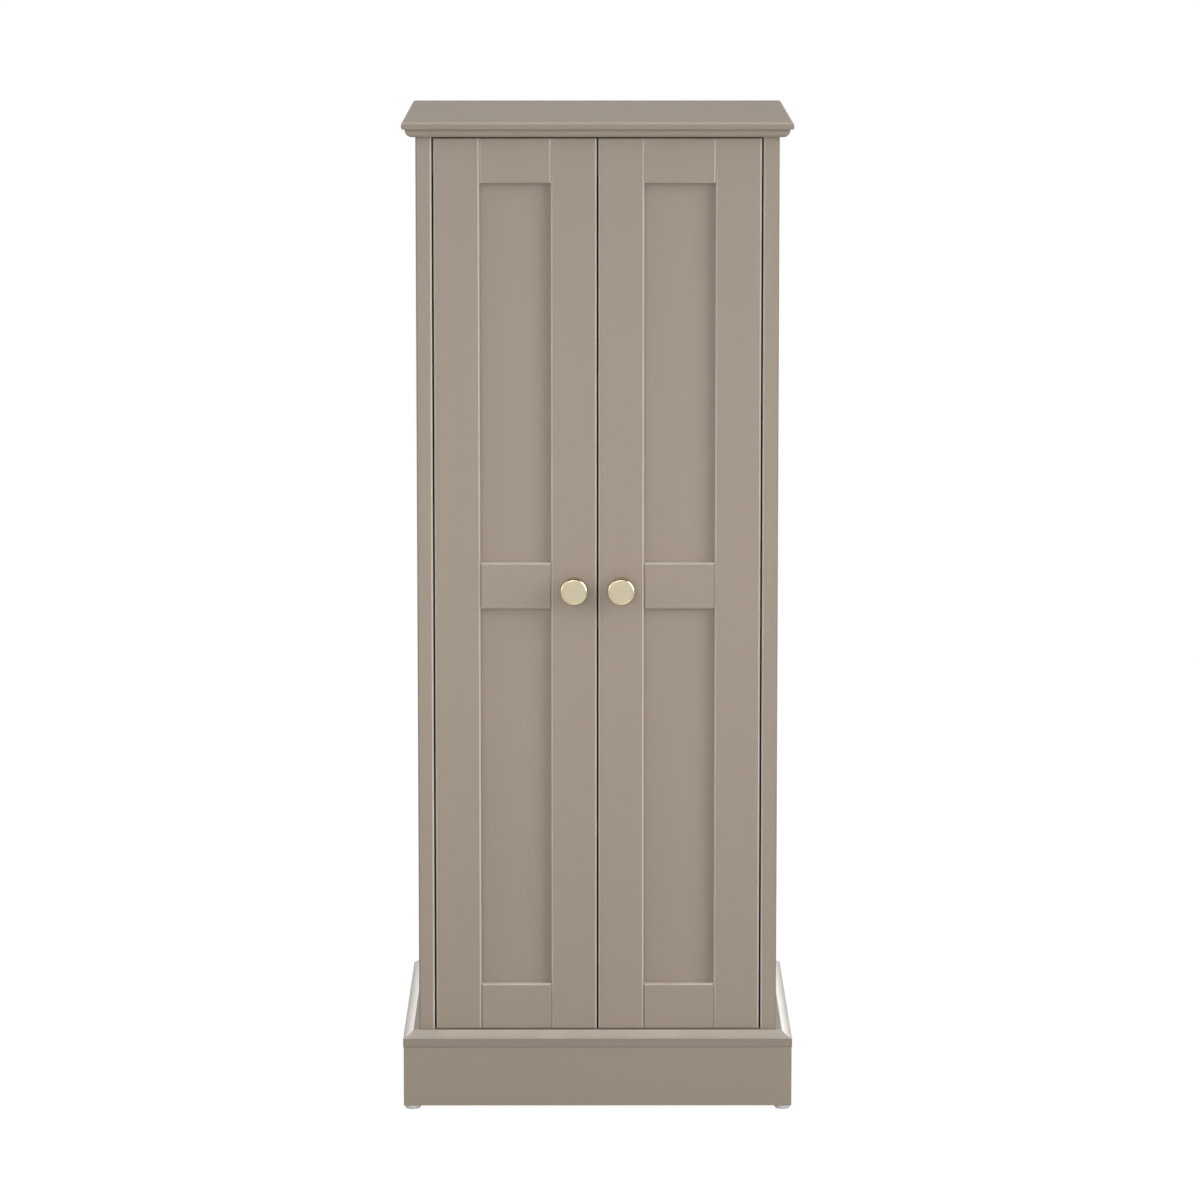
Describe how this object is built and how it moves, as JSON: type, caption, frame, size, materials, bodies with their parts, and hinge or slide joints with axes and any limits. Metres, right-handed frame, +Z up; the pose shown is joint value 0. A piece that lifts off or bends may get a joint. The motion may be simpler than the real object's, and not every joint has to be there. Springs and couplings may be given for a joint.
{
  "type": "bathroom cabinet",
  "caption": "Tall slim floor-standing bathroom cabinet with framed inset doors, round brass knobs, shelves inside, a moulded top and a moulded plinth.",
  "frame": {"origin": "on the floor, under the middle of the whole box with the knobs", "axes": "+X to the right seen from the front, +Y to the back, +Z up"},
  "size_m": [0.445, 0.435, 1.13],
  "materials": {
    "painted_wood": "satin taupe lacquer",
    "back_board": "matt painted hardboard",
    "bare_wood": "bare beech",
    "brass": "pale brushed brass",
    "nickel": "nickel plated",
    "zinc": "zinc plated",
    "glide_plastic": "white plastic",
    "catch_plastic": "pale plastic",
    "magnet": "dark sintered magnet",
    "soft_rubber": "soft grey rubber"
  },
  "bodies": {
    "cabinet": {"back_nails": "zinc", "back_panel": "back_board", "base_board": "painted_wood", "cam_bolts": "zinc", "cam_locks": "zinc", "catch_cases": "catch_plastic", "catch_magnets": "magnet", "catch_screws": "zinc", "dowels": "bare_wood", "fixed_shelf": "painted_wood", "foot_glides": "glide_plastic", "front_stretcher": "painted_wood", "glide_nails": "zinc", "hinge_arms": "nickel", "hinge_plate_screws": "zinc", "hinge_plates": "nickel", "left_side_panel": "painted_wood", "lower_shelf": "painted_wood", "plinth_back": "painted_wood", "plinth_blocks": "bare_wood", "plinth_front": "painted_wood", "plinth_left": "painted_wood", "plinth_right": "painted_wood", "plinth_screws": "zinc", "right_side_panel": "painted_wood", "shelf_pins": "zinc", "top_board": "painted_wood", "upper_shelf": "painted_wood", "wall_rail": "painted_wood"},
    "left_door": {"left_bumpers": "soft_rubber", "left_cup_screws": "zinc", "left_door_bottom_rail": "painted_wood", "left_door_hinge_stile": "painted_wood", "left_door_lower_panel": "painted_wood", "left_door_meeting_stile": "painted_wood", "left_door_middle_rail": "painted_wood", "left_door_top_rail": "painted_wood", "left_door_upper_panel": "painted_wood", "left_hinge_cups": "nickel", "left_knob": "brass", "left_knob_screw": "zinc", "left_strike_plate": "nickel", "left_strike_screw": "zinc"},
    "right_door": {"right_bumpers": "soft_rubber", "right_cup_screws": "zinc", "right_door_bottom_rail": "painted_wood", "right_door_hinge_stile": "painted_wood", "right_door_lower_panel": "painted_wood", "right_door_meeting_stile": "painted_wood", "right_door_middle_rail": "painted_wood", "right_door_top_rail": "painted_wood", "right_door_upper_panel": "painted_wood", "right_hinge_cups": "nickel", "right_knob": "brass", "right_knob_screw": "zinc", "right_strike_plate": "nickel", "right_strike_screw": "zinc"},
    "left_links": {"left_hinge_links": "nickel"},
    "right_links": {"right_hinge_links": "nickel"}
  },
  "joints": [
    {"name": "left_door_swing", "type": "hinge", "parent": "cabinet", "child": "left_door", "pos_m": [-0.1845, -0.1925, 0.601], "axis": [0, 0, -1], "range_deg": [0, 95]},
    {"name": "right_door_swing", "type": "hinge", "parent": "cabinet", "child": "right_door", "pos_m": [0.1845, -0.1925, 0.601], "axis": [0, 0, 1], "range_deg": [0, 95]},
    {"name": "left_link_fold", "type": "hinge", "parent": "cabinet", "child": "left_links", "pos_m": [-0.1605, -0.18, 0.601], "axis": [0, 0, -1], "range_deg": [0, 92.15]},
    {"name": "right_link_fold", "type": "hinge", "parent": "cabinet", "child": "right_links", "pos_m": [0.1605, -0.18, 0.601], "axis": [0, 0, 1], "range_deg": [0, 92.15]}
  ],
  "couplings": [
    {"joint": "left_link_fold", "follows": "left_door_swing", "ratio": 0.97},
    {"joint": "right_link_fold", "follows": "right_door_swing", "ratio": 0.97}
  ]
}
